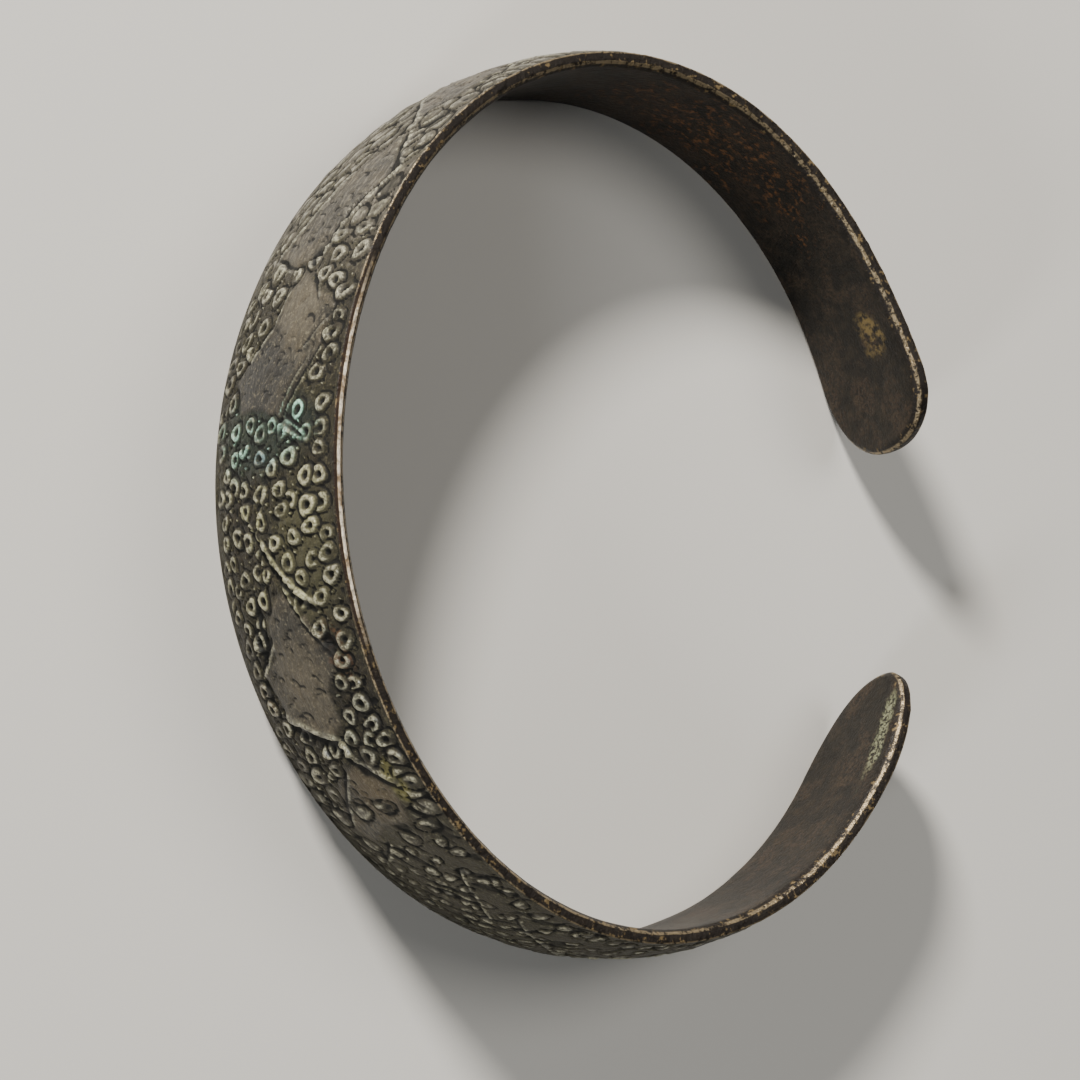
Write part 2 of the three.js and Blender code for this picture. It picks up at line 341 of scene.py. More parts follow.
def inward(edge, turn):
    """The direction in the flat sheet that leads into the band, square to one of its edges."""
    run = np.stack([np.gradient(rows), np.gradient(edge)], -1)
    run /= np.linalg.norm(run, axis=1)[:, None]
    square = np.stack([-run[:, 1], run[:, 0]], -1) * turn
    square[0], square[-1] = (1, 0), (-1, 0)
    return square


low_inward, high_inward = inward(low_edge, 1), inward(high_edge, -1)
low_line, high_line = np.stack([rows, low_edge], -1), np.stack([rows, high_edge], -1)


def across(inset, count):
    """Points from the lower edge to the upper one, each row starting and ending at an inset."""
    share = np.linspace(0, 1, count + 1)[None, :, None]
    start = (low_line + low_inward * inset)[:, None]
    end = (high_line + high_inward * inset)[:, None]
    return start + (end - start) * share


over_top = np.stack([high_line + high_inward * inset for inset, depth in EDGE_SECTION], 1)
under = np.stack([low_line + low_inward * inset for inset, depth in EDGE_SECTION], 1)
sheet = np.concatenate(
    [across(FACE_INSET, FACE_COLUMNS), over_top, across(INNER_INSET, INNER_COLUMNS)[:, ::-1], under[:, ::-1]],
    axis=1,
)
flat_along, flat_height = sheet[..., 0], sheet[..., 1]

face_part = np.arange(FACE_COLUMNS + 1)
top_part = face_part[-1] + 1 + np.arange(len(EDGE_SECTION))
inner_part = top_part[-1] + 1 + np.arange(INNER_COLUMNS + 1)
under_part = inner_part[-1] + 1 + np.arange(len(EDGE_SECTION))

LEAST_HEIGHT = 1e-6
half_height = (high_edge - low_edge) / 2
band_height = np.maximum(2 * half_height[:, None], LEAST_HEIGHT)
# How far up the band a point is: -1 at the lower edge and 1 at the upper one.
upwards = 2 * (flat_height - low_edge[:, None]) / band_height - 1
out = np.full(sheet.shape[:2], -WALL)
crown = CROWN * half_height[:, None] / (BACK_HEIGHT / 2)
out[:, face_part] = (crown * np.clip(1 - upwards**2, 0, 1))[:, face_part]
edge_out = np.array([depth for inset, depth in EDGE_SECTION])
out[:, top_part] = edge_out
out[:, under_part] = edge_out[::-1]
print("thickest at the back:", round(float(out.max()) + WALL, 2), "mm")

# %% [markdown]
# ## Relief
# The relief of the outer face is worked out as a height for each point and added to how far out it
# stands. A sculptor would push a mesh about with brushes. Here each tool mark is a short formula of
# the distance from the middle of the stroke: a ring punch leaves a sunk dot, a raised ring and a
# shallow trench round it, and a graver leaves a groove. Age adds dents, pits and a rough skin, from
# smooth noise at several scales.

# %% Helpers for distance and roughness
face_along, face_height = flat_along[:, face_part], flat_height[:, face_part]
face_shape = face_along.shape


def bell(distance, width):
    return np.exp(-((distance / width) ** 2))


def ramp(values, low, high):
    share = np.clip((values - low) / (high - low), 0, 1)
    return share * share * (3 - 2 * share)


def roughness_of(along, height, size, octaves, seed):
    """Smooth noise of about -1 to 1 over the flat sheet, with bumps of about a size in mm."""
    points = np.stack([along.ravel() / size, height.ravel() / size], -1)
    values = [noise.fractal(Vector((x, y, seed)), 1.0, 2.0, octaves) for x, y in points]
    return np.array(values).reshape(along.shape)


def face_roughness(size, octaves, seed, squeeze=1.0):
    """Roughness of the outer face, with its bumps squeezed in height."""
    return roughness_of(face_along, face_height * squeeze, size, octaves, seed)


# A hand isn't a ruler: lines and outlines are drawn in places moved a little to and fro.
DRIFT, DRIFT_SIZE = 0.28, 3.4
drawn_along = face_along + DRIFT * face_roughness(DRIFT_SIZE, octaves=2, seed=51.0)
drawn_height = face_height + DRIFT * face_roughness(DRIFT_SIZE, octaves=2, seed=61.0)
print("the hand strays by up to", round(float(np.abs(drawn_along - face_along).max()), 2), "mm")

# %% [markdown]
# In the middle of the back the marks are clear rings with a dot. Further round the punch was held
# aslant, so there they come out as closed, leaning ovals. A helper measures how far points are from
# the middle of such a leaning oval, so that the punch itself can be thought of as a round one.

# %% How a mark leans
OPEN_MIDDLE, OPEN_TO, CLOSED_FROM = 3.0, 18.0, 26.0
ASLANT, STRETCHED, TILTED = 0.75, 0.35, 0.1


def closed_share(along):
    """0 where the marks are open rings, 1 where they are closed ovals."""
    return ramp(np.abs(along - OPEN_MIDDLE), OPEN_TO, CLOSED_FROM)


def any_turn(n):
    """An angle that looks like chance."""
    return 2 * math.pi * scatter(n)


def from_middle(n, near_rows):
    """How far points are from the middle of a mark, in its own radii, and in which direction."""
    along, height, radius = marks[n]
    closed = float(closed_share(along))
    stretched = STRETCHED * closed if along < FINE_FROM else 0.0
    tall = MARK_TALL * (0.88 + 0.26 * scatter(n + 0.15)) * (1 + stretched)
    tilt = TILTED * any_turn(n + 0.35) - ASLANT * closed * np.sign(along)
    x, y = face_along[near_rows] - along, face_height[near_rows] - height
    x, y = x * math.cos(tilt) + y * math.sin(tilt), y * math.cos(tilt) - x * math.sin(tilt)
    x, y = x / radius, y / radius / tall
    return np.hypot(x, y), np.arctan2(y, x)


mostly_closed = sum(float(closed_share(along)) > 0.5 for along, height, radius in marks)
print(mostly_closed, "of the", len(marks), "marks are more closed than open")

# %% [markdown]
# No stroke is even: each is a little out of round and is struck harder on one side. To save time,
# each mark is worked out only on the rows near it. Pips and the smallest second strokes have a knob
# in place of a ring.

# %% Punch the marks
CREST_AT, CREST_WIDTH, CREST_HEIGHT = 0.58, 0.27, 0.24
DOT_WIDTH, DOT_DEPTH = 0.22, 0.34
MOAT_AT, MOAT_WIDTH, MOAT_DEPTH = 1.03, 0.16, 0.2
SMALLEST_RING, REACH = 0.5, 2.2
UNROUND, SEEN_UNEVEN, UNEVEN = 0.08, 0.35, 1.0

crest, dot, moat, tone = (np.zeros(face_shape) for _ in range(4))
for n, (along, height, radius) in enumerate(marks):
    near_rows = slice(*np.searchsorted(rows, (along - REACH, along + REACH)))
    closed, strength = float(closed_share(along)), 0.5 + 0.5 * scatter(n + 0.9)
    lean, wave = any_turn(n + 0.55), any_turn(n + 0.75)
    reach, turn = from_middle(n, near_rows)
    reach = reach * (1 + UNROUND * np.sin(2 * turn + wave) + UNROUND * np.sin(3 * turn + lean))
    broken = SEEN_UNEVEN if n < seen_count else UNEVEN
    uneven = strength * (1 + broken * (0.5 * np.cos(turn - lean) + 0.3 * np.sin(2 * turn - wave)))
    crest_at, crest_width = CREST_AT * (1 - 0.55 * closed), CREST_WIDTH * (1 + 0.8 * closed)
    if radius < SMALLEST_RING:
        reach = reach + crest_at
    struck = ramp(reach, 1.3, 1.0)
    for store, value in (
        (crest, uneven * bell(reach - crest_at, crest_width)),
        (dot, (0.4 + 0.6 * strength) * (1 - 0.8 * closed) * bell(reach, DOT_WIDTH)),
        (moat, (0.4 + 0.6 * strength) * bell(reach - MOAT_AT, MOAT_WIDTH * (1 - 0.2 * closed))),
        (tone, scatter(n + 0.05)),
    ):
        store[near_rows] += struck * (value - store[near_rows])
closed_here = closed_share(face_along)
punched = CREST_HEIGHT * (1 - 0.7 * closed_here) * crest - DOT_DEPTH * dot - MOAT_DEPTH * moat
print("marks go from", round(float(punched.min()), 2), "to", round(float(punched.max()), 2), "mm")

# %% [markdown]
# Here and there the tool only touched a field and left a shallow crescent. A crescent is part of a
# ring, so it is made like one and then kept on one side alone. Places are tried along the part of the
# band that the camera sees, and count where they fall well inside a field.

# %% Leave stray tool marks in the fields
STRAY_TRIES, STRAY_RADIUS, STRAY_WIDTH, STRAY_DEPTH = 560, 0.5, 0.14, 0.15
STRAY_FROM_OUTLINE = 0.5
strays = np.zeros(face_shape)
for n in range(STRAY_TRIES):
    along, height = -48 + 80 * scatter(n + 0.2), 3 + 13 * scatter(n + 0.7)
    if max(float(field_depth(field, along, height)) for field in FIELDS) > STRAY_FROM_OUTLINE:
        near_rows = slice(*np.searchsorted(rows, (along - 1, along + 1)))
        x, y = face_along[near_rows] - along, face_height[near_rows] - height
        reach, turn = np.hypot(x, y / MARK_TALL), np.arctan2(y, x) - 2.2 - 1.6 * scatter(n + 0.4)
        stray_ring = bell(reach - STRAY_RADIUS * (0.7 + 0.6 * scatter(n)), STRAY_WIDTH)
        arc = stray_ring * ramp(np.cos(turn), 0.1, 0.8)
        strays[near_rows] = np.maximum(strays[near_rows], arc * (0.4 + 0.6 * scatter(n + 0.9)))
print("stray tool marks cover", round(float((strays > 0.3).mean()) * 100, 1), "% of the face")

# %% [markdown]
# The fields are bounded by graver lines, and a few more lines cross the marks. A groove is a bell
# curve of the distance from the line, and the graver throws up a burr along one side of it. Lines
# could be cut with a boolean, but a formula leaves the grid whole.

# %% Engrave the lines
# Each line goes from one place to another, with a width and a depth.
LINES = (
    ((-46.0, 9.2), (-40.0, 13.2), 0.2, 0.14),
    ((-41.0, 5.4), (-34.6, 8.2), 0.2, 0.16),
    ((-34.6, 8.2), (-31.2, 11.9), 0.2, 0.16),
    ((-29.4, 12.8), (-25.5, 15.5), 0.2, 0.2),
    ((-25.5, 15.5), (-17.2, 11.6), 0.2, 0.22),
    ((-25.6, 9.2), (-21.6, 7.2), 0.24, 0.2),
    ((-21.6, 7.2), (-18.2, 4.0), 0.24, 0.22),
    ((-16.3, 9.3), (-18.2, 4.0), 0.18, 0.14),
    ((-14.2, 9.2), (-11.6, 8.4), 0.18, 0.14),
    ((-11.6, 8.4), (-9.4, 5.6), 0.2, 0.16),
    ((-9.2, 15.8), (-3.7, 12.1), 0.16, 0.16),
    ((-8.6, 14.6), (-4.4, 11.8), 0.14, 0.12),
    ((-2.5, 15.4), (-4.1, 12.5), 0.15, 0.14),
    ((-12.5, 16.8), (-9.5, 13.8), 0.16, 0.12),
    ((-15.6, 12.2), (-13.0, 14.2), 0.16, 0.12),
    ((1.2, 9.8), (5.6, 7.2), 0.16, 0.14),
    ((2.4, 5.6), (6.2, 8.6), 0.16, 0.12),
    ((-2.0, 15.2), (-3.6, 12.2), 0.17, 0.18),
    ((6.0, 8.4), (8.9, 11.3), 0.26, 0.26),
    ((8.9, 11.3), (11.0, 14.1), 0.28, 0.26),
    ((9.6, 10.8), (16.0, 15.3), 0.14, 0.14),
    ((19.7, 4.8), (21.8, 10.1), 0.36, 0.34),
    ((21.8, 10.1), (23.5, 10.8), 0.34, 0.32),
    ((23.5, 10.8), (26.2, 14.2), 0.28, 0.24),
    ((24.3, 8.8), (28.4, 4.6), 0.2, 0.15),
    ((12.8, 7.0), (14.9, 3.6), 0.24, 0.2),
    ((31.0, 7.8), (33.4, 3.8), 0.18, 0.14),
    ((35.0, 12.4), (41.0, 8.4), 0.18, 0.12),
    ((42.0, 11.0), (48.0, 6.0), 0.18, 0.12),
    ((-66.4, 6.4), (-58.0, 10.7), 0.2, 0.14),
    ((-58.0, 3.1), (-49.6, 7.0), 0.2, 0.14),
    ((51.6, 6.0), (59.0, 9.9), 0.2, 0.14),
    ((59.0, 2.7), (66.4, 6.2), 0.2, 0.14),
)
grooves, burrs = np.zeros(face_shape), np.zeros(face_shape)
for (ax, ay), (bx, by), width, depth in LINES:
    length = math.hypot(bx - ax, by - ay)
    aside = 1.7 * width * np.array((ay - by, bx - ax)) / length
    line = side_distance((ax, ay), (bx, by), drawn_along, drawn_height)
    burr = side_distance(aside + (ax, ay), aside + (bx, by), drawn_along, drawn_height)
    grooves = np.maximum(grooves, depth * bell(line, 1.2 * width))
    burrs = np.maximum(burrs, 0.8 * depth * bell(burr, 1.3 * width))
field_inside = np.max([field_depth(field, drawn_along, drawn_height) for field in FIELDS], axis=0)
plain = ramp(field_inside, -0.3, 0.15)
engraved = burrs - grooves
print("deepest groove:", round(float(grooves.max()), 2), "mm")

# %% [markdown]
# Corrosion has dented and roughened the face. A real surface is rough at several scales at once, so
# noise of several sizes is used: wide dents, smaller facets, fine lumps with ridges among them, and
# small nicks.

# %% Dent and roughen the outer face
DENT, FACET, LUMP, RIDGE = 0.1, 0.085, 0.09, 0.14

dents = DENT * face_roughness(size=9.0, octaves=2, seed=1.0)
facets = FACET * face_roughness(size=2.6, octaves=2, seed=71.0)
ridged = 0.2 - np.abs(face_roughness(size=1.5, octaves=2, seed=15.0))
lumps = LUMP * face_roughness(size=1.1, octaves=3, seed=5.0) + RIDGE * ridged
nicks = ramp(face_roughness(size=1.3, octaves=2, seed=9.0, squeeze=2.2), 0.3, 0.6)
print("dents are up to", round(float(np.abs(dents).max()), 2), "mm deep")

# %% [markdown]
# Small pits are eaten into the ground, long furrows run among the closed marks, and a few deep pits
# stand where the photograph shows them.

# %% Eat pits and furrows into the face
# Each deep pit has its place, its two widths and its depth.
PITS = (
    ((11.7, 5.9, 1.7, 0.4, 0.5), (13.2, 4.7, 1.4, 0.4, 0.5), (13.9, 14.9, 0.7, 0.6, 0.5))
    + ((-17.2, 11.4, 0.8, 0.6, 0.25), (16.6, 3.2, 0.8, 0.3, 0.3), (24.2, 11.6, 0.6, 0.5, 0.25))
)
PITTED_DEPTH, FURROW_DEPTH, FURROW_STRETCH = 0.14, 0.1, 0.24

pitted = ramp(face_roughness(size=1.1, octaves=2, seed=21.0), 0.5, 0.85)
# Furrows run aslant, one way on one side of the back and the other way on the other.
side = np.sign(face_along)
lengthwise, crosswise = 0.7 * (face_height + side * face_along), 0.7 * (face_height - side * face_along)
furrows = roughness_of(lengthwise * FURROW_STRETCH, crosswise, 0.9, 2, 81.0)
furrows = ramp(furrows, 0.12, 0.4) * closed_here
from_tip = np.minimum(face_along - FIRST_END, SECOND_END - face_along)
furrows *= ramp(from_tip, PLAIN_END - 1, PLAIN_END + 4)
eaten = PITTED_DEPTH * pitted * (1 - plain) + FURROW_DEPTH * furrows * (1 - 0.6 * plain)
for along, height, width, tall, depth in PITS:
    reach = np.hypot((face_along - along) / width, (face_height - height) / tall)
    eaten = eaten + depth * bell(reach, 0.9)
print("deepest pit:", round(float(eaten.max()), 2), "mm")

# %% [markdown]
# Now the relief is added up. The lumps keep mostly off the fields and the marks. All of it fades out
# at both edges and is shallower near the lower one, so that the outline there stays even.

# %% Add up the relief
NICK_DEPTH, GROUND_SUNK = 0.05, 0.1

marked = ramp(crest + dot + moat, 0.0, 0.4)
open_ground = (1 - plain) * (1 - 0.75 * closed_here)
fine_relief = lumps * (0.1 + 0.9 * open_ground * (1 - 0.6 * marked)) - GROUND_SUNK * open_ground
fine_relief = fine_relief - eaten - NICK_DEPTH * nicks * plain - STRAY_DEPTH * strays
fine_relief = fine_relief + engraved + punched
from_edge = np.minimum(face_height - low_edge[:, None], high_edge[:, None] - face_height)
near_floor = ramp(face_height - low_edge[:, None], 0.4, 4.0)
fine_relief = fine_relief * ramp(from_edge, 0.0, 0.45) * (0.4 + 0.6 * near_floor)
out[:, face_part] += fine_relief + (dents + facets) * ramp(from_edge, 0.0, 0.6)
print("relief from", round(float(fine_relief.min()), 2), "to", round(float(fine_relief.max()), 2), "mm")

# %% [markdown]
# Rubbing wears what stands proud, and what lies low is painted darker later on. To tell them apart, the
# relief is smoothed, which leaves its broad shape, and compared with itself.

# %% Find what stands proud
SMOOTHINGS, PROUD_BY = 10, 0.16
smooth = fine_relief
for _ in range(SMOOTHINGS):
    padded = np.pad(smooth, 1, mode="edge")
    down = (padded[:-2] + 2 * padded[1:-1] + padded[2:]) / 4
    smooth = (down[:, :-2] + 2 * down[:, 1:-1] + down[:, 2:]) / 4
proud = 0.5 + 0.5 * np.clip((fine_relief - smooth) / PROUD_BY, -1, 1)
print("share of the face that stands proud:", round(float((proud > 0.6).mean()), 2))

# %% [markdown]
# The inner face is smooth apart from shallow dents, and the upper edge is nicked all along. Both come
# from moving points of the grid. The lower edge stays true, because the ring lies on it.

# %% Age the edges and the inner face
inner_dents = 0.07 * roughness_of(flat_along, flat_height, 6.0, 2, 31.0)
bites = roughness_of(flat_along, out * 3, 1.3, 3, 41.0)
out[:, inner_part] += inner_dents[:, inner_part]
bite = np.clip(bites[:, top_part], -1, 1)
flat_height[:, top_part] += 0.06 * bite * ramp(half_height, 0, 2)[:, None]
out[:, top_part] += 0.05 * bite
print("edges nicked by up to", round(0.06 * float(np.abs(bite).max()), 3), "mm")

# %% [markdown]
# ## Bend the sheet into the hoop
# `create_grid` makes a flat square grid. Each of its points knows its row and column from where it
# is, so it can be sent to its place on the ring. First the places are worked out, with the hoop's
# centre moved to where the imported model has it.

# %% Work out the places and make the grid
angles = np.interp(flat_along, fine_along, fine_angles)
radii = hoop_radius(angles) + out
ring_x = radii * np.cos(angles) + LEAN * flat_height
ring_y = radii * np.sin(angles)
HOOP_AXIS = Vector((0.688, -0.138)) * MM
ring_points = np.stack([ring_x * MM + HOOP_AXIS.x, ring_y * MM + HOOP_AXIS.y, flat_height * MM], -1)

skin = bmesh.new()
bmesh.ops.create_grid(skin, x_segments=columns_round, y_segments=row_count - 1, size=1.0)
skin.verts.ensure_lookup_table()
grid = np.array([vert.co[:2] for vert in skin.verts])
grid_column = np.rint((grid[:, 0] + 1) / 2 * columns_round).astype(int) % columns_round
grid_row = np.rint((grid[:, 1] + 1) / 2 * (row_count - 1)).astype(int)
print("the grid has", len(skin.verts), "points")

# %% [markdown]
# The finish will need to know where each point is on the band, and what was done to it there. Such
# numbers are kept on the points themselves, as attributes, so that they go wherever the points go.

# %% Keep what the finish needs on the points
def keep_on_points(name, values):
    """Stores one number for each point of the grid, for the finish to read."""
    layer = skin.verts.layers.float.new(name)
    for vert, value in zip(skin.verts, values[grid_row, grid_column]):
        vert[layer] = value


def whole(part, values, elsewhere=0.0):
    """Values for some of the columns, made up to all of them."""
    full = np.full(flat_along.shape, elsewhere)
    full[:, part] = values
    return full


# As deep or as high as this, a tool mark or a pit shows in full.
FULL_BURR, FULL_GROOVE, FULL_PIT = 0.16, 0.25, 0.2
keep_on_points("along", flat_along)
keep_on_points("height", flat_height)
keep_on_points("crest", whole(face_part, np.clip(crest + burrs / FULL_BURR, 0, 1.2)))
keep_on_points("tone", whole(face_part, tone, 0.5))
low_lying = dot + (0.35 + 0.5 * closed_here) * moat + grooves / FULL_GROOVE + eaten / FULL_PIT
low_lying = low_lying + 0.5 * strays
keep_on_points("hollow", whole(face_part, np.clip(low_lying, 0, 1)))
keep_on_points("proud", whole(face_part, proud, 0.5))
keep_on_points("plain", whole(face_part, plain * (1 - 0.9 * marked)))
keep_on_points("face", whole(face_part, 1.0))
keep_on_points("inside", whole(inner_part, 1.0))
across_edge = whole(top_part, -edge_out / WALL)
across_edge[:, under_part] = -edge_out[::-1] / WALL
across_edge[:, inner_part] = 1.0
keep_on_points("across_edge", across_edge)
keep_on_points("from_edge", whole(face_part, from_edge, 0.0))
print("kept on the points:", ", ".join(skin.verts.layers.float.keys()))

# %% [markdown]
# Now the points move. The last column lands on the first one, and at each tip the row folds shut on
# itself. `remove_doubles` welds what meets, which closes the skin, and the count of open edges proves
# it.

# %% Bend the grid and weld it
SAME_PLACE, LIP_GAP = 1e-7, 0.05 * MM

for vert, point in zip(skin.verts, ring_points[grid_row, grid_column]):
    vert.co = point
bmesh.ops.remove_doubles(skin, verts=skin.verts, dist=SAME_PLACE)
# The worn edges leave a hair-thin slit at each tip, so its two lips are welded as well.
lips = [vert for vert in skin.verts if vert.is_boundary]
bmesh.ops.remove_doubles(skin, verts=lips, dist=LIP_GAP)
bmesh.ops.recalc_face_normals(skin, faces=skin.faces)
for face in skin.faces:
    face.smooth = True
open_edges = sum(len(edge.link_faces) != 2 for edge in skin.edges)
print(len(skin.faces), "faces,", open_edges, "open edges, volume", round(skin.calc_volume() / MM**3), "mm3")

band_mesh = bpy.data.meshes.new("bronze_band")
skin.to_mesh(band_mesh)
skin.free()
band = bpy.data.objects.new("bronze_band", band_mesh)
bpy.context.scene.collection.objects.link(band)

# %% [markdown]
# ## Writing shader sums as Python
# A finish is a net of nodes. Written out one by one they are hard to read, so a small class wraps a
# socket and lets Python's own signs add the Math nodes: `1 - mask * 0.5` makes two of them. Every
# other node comes from one method that takes its type, its settings and what goes into its sockets.

# %% A socket that does sums
class Wire:
    """One socket of a finish, with Python's signs for its Math nodes."""

    def __init__(self, finish, socket):
        self.finish = finish
        self.socket = socket

    def maths(self, operation, *values):
        return self.finish.node("ShaderNodeMath", {"operation": operation}, dict(enumerate(values)))

    def __add__(self, other):
        return self.maths("ADD", self, other)

    def __radd__(self, other):
        return self.maths("ADD", other, self)

    def __sub__(self, other):
        return self.maths("SUBTRACT", self, other)

    def __rsub__(self, other):
        return self.maths("SUBTRACT", other, self)

    def __mul__(self, other):
        return self.maths("MULTIPLY", self, other)

    def __rmul__(self, other):
        return self.maths("MULTIPLY", other, self)

    def __truediv__(self, other):
        return self.maths("DIVIDE", self, other)

    def __pow__(self, other):
        return self.maths("POWER", self, other)

    def ramp(self, low, high):
        """0 below low, 1 above high and smooth between. With low over high it falls instead."""
        return self.finish.node(
            "ShaderNodeMapRange",
            {"interpolation_type": "SMOOTHSTEP"},
            {"Value": self, "From Min": low, "From Max": high},
        )


print("signs that add a Math node: + - * / **")

# %% [markdown]
# The finish is the material itself. It can make any node, read a number that is kept on the points,
# make cloudy noise of a size in millimetres, and mix two colours.

# %% A finish that makes nodes
class Finish:
    """A material whose nodes are made one expression at a time."""

    def __init__(self, name):
        self.material = bpy.data.materials.new(name)
        self.material.use_nodes = True
        self.tree = self.material.node_tree
        self.shader = self.tree.nodes["Principled BSDF"]
        self.coordinates = self.node("ShaderNodeTexCoord", output="Object")

    def node(self, kind, settings=None, inputs=None, output=0):
        made = self.tree.nodes.new(kind)
        for name, value in (settings or {}).items():
            setattr(made, name, value)
        for name, value in (inputs or {}).items():
            self.feed(made.inputs[name], value)
        return Wire(self, made.outputs[output])

    def feed(self, socket, value):
        if isinstance(value, Wire):
            self.tree.links.new(value.socket, socket)
        else:
            socket.default_value = value

    def attribute(self, name):
        return self.node("ShaderNodeAttribute", {"attribute_name": name}, output="Fac")

    def noise(self, size, detail=3.0, roughness=0.55, distortion=0.0, shift=0.0):
        """Cloudy noise with spots of about a size in millimetres."""
        moved = self.node(
            "ShaderNodeVectorMath", {"operation": "ADD"}, {0: self.coordinates, 1: (shift, shift, shift)}
        )
        inputs = {"Vector": moved, "Scale": 1 / (size * MM), "Detail": detail}
        inputs |= {"Roughness": roughness, "Distortion": distortion}
        return self.node("ShaderNodeTexNoise", None, inputs)

    def mix(self, factor, first, second):
        """One colour painted over another as far as the factor says."""
        return self.node("ShaderNodeMix", {"data_type": "RGBA"}, {0: factor, 6: first, 7: second}, 2)

    def set(self, **values):
        for name, value in values.items():
            self.feed(self.shader.inputs[name.replace("_", " ")], value)


print("a finish starts from the", bpy.types.ShaderNodeBsdfPrincipled.bl_rna.name, "shader")

# %% [markdown]
# Colours are easiest to think of as on a screen, from 0 to 255, but a shader sums light, so it wants
# linear values.

# %% A colour for the shader
def colour(red, green, blue):
    """A colour given as on a screen, from 0 to 255, as the shader wants it."""
    linear = [c / 255 / 12.92 if c < 10.3 else ((c / 255 + 0.055) / 1.055) ** 2.4 for c in (red, green, blue)]
    return (*linear, 1.0)


print("the linear value of mid grey is", round(colour(128, 128, 128)[0], 3))

# %% [markdown]
# ## The bronze's skin
# Old bronze is layered: a brown-black oxide, then olive and green salts, then stains, with metal where it is
# rubbed; here the hollows are also darkened to near black. The finish paints them in that order. Some coats
# are painted light rather than the bronze's own colour: a painted sheen towards one end, painted highlights
# on crests, specks and corners, and painted light and shade on one plain field. A painted texture could show
# the same, but here each coat's place comes from noise and from the numbers on the points: how much a point
# is on a mark's crest or in a hollow, whether it stands proud, and how far across the edge it is. So the
# colours fit the relief exactly.

# %% What the finish reads
bronze = Finish("old_bronze")
along, height = bronze.attribute("along"), bronze.attribute("height")
face, inside = bronze.attribute("face"), bronze.attribute("inside")
plain_field, on_crest = bronze.attribute("plain"), bronze.attribute("crest")
hollow, standing = bronze.attribute("hollow"), bronze.attribute("proud")
mark_tone = bronze.attribute("tone")
across_edge, off_edge = bronze.attribute("across_edge"), bronze.attribute("from_edge")

cloud = bronze.noise(9.0, detail=4.0)
patches = bronze.noise(3.2, detail=5.0, roughness=0.6, distortion=0.4)
mottle = bronze.noise(1.1, detail=5.0, roughness=0.65)
speck = bronze.noise(0.3, detail=3.0, roughness=0.7)
fleck = bronze.noise(0.6, detail=4.0, roughness=0.6, shift=3.0)
flat_place = bronze.node("ShaderNodeCombineXYZ", None, {0: along * 1.1, 1: height * 2.6})
streak = bronze.node("ShaderNodeTexNoise", None, {"Vector": flat_place, "Scale": 1.0, "Detail": 4.0})
print(len(bronze.tree.nodes), "nodes read the points and make noise")

# %% Masks, patches and coats
def patch(centre_along, centre_height, wide, tall, ragged=0.9):
    """A soft spot on the band with a ragged outline, 1 in its middle."""
    x = (along - centre_along) / wide
    y = (height - centre_height) / tall
    return ((x * x + y * y) ** 0.5 + (patches - 0.5) * ragged * 2).ramp(1.1, 0.5)


def paint(what, under, *coats):
    """Lays coats over a colour, each given as how much of it shows and its own colour."""
    for cover, tint in coats:
        under = bronze.mix(cover, under, tint)
    print(what, "has", len(coats), "coats")
    return under


ground, edge = face * (1 - plain_field), 1 - face - inside
rubbed, sunk = standing.ramp(0.54, 0.9), standing.ramp(0.46, 0.16)
raised = (on_crest * 0.8 + rubbed * 0.5).ramp(0.2, 1.0) * face
# Towards one end the band is painted paler and silvery, partly its own greyer tone and partly a painted
# sheen. Towards both ends the marks are closed.
painted_sheen_end = along.ramp(-11.0, -24.0)
closed_marks = painted_sheen_end + along.ramp(20.0, 29.0)
print(len(bronze.tree.nodes), "nodes with the masks")

# %% [markdown]
# The brown skin comes first, clouded and mottled. The ground between the marks is olive, yellower in the
# middle of the back and silvery towards one end, partly a painted sheen there. Small bright specks on the
# ground are painted highlights.

# %% Paint the brown skin and the ground
lime_ground = patch(7.0, 14.5, 7.0, 4.5, 0.6) * ground
skin_colour = paint(
    "the ground",
    bronze.mix(cloud.ramp(0.35, 0.65), colour(34, 31, 27), colour(46, 42, 36)),
    (mottle.ramp(0.45, 0.72) * 0.6, colour(74, 64, 50)),
    (mottle.ramp(0.5, 0.3) * 0.7, colour(15, 14, 13)),
    (ground * 0.6, colour(32, 30, 23)),
    (ground * closed_marks * 0.8, colour(60, 56, 46)),
    # Towards one end the ground is paler and silvery, partly its own tone and partly a painted sheen, with
    # streaks of painted highlight.
    (ground * painted_sheen_end * 0.6, colour(76, 72, 64)),
    (ground * painted_sheen_end * streak.ramp(0.5, 0.68) * 0.7, colour(128, 121, 108)),
    (lime_ground * 0.35, colour(88, 86, 60)),
    (ground * patches.ramp(0.42, 0.66) * 0.5, colour(50, 48, 34)),
    # Small bright specks: painted highlights.
    (ground * speck.ramp(0.52, 0.68) * 0.4, colour(100, 95, 70)),
)

# %% [markdown]
# The plain fields are smoother and greyer than the ground, with fine streaks and darker and paler patches.
# One field gets painted light high on its left and painted shade lower down. The fields get the painted sheen
# towards one end, and their bright specks are painted highlights.

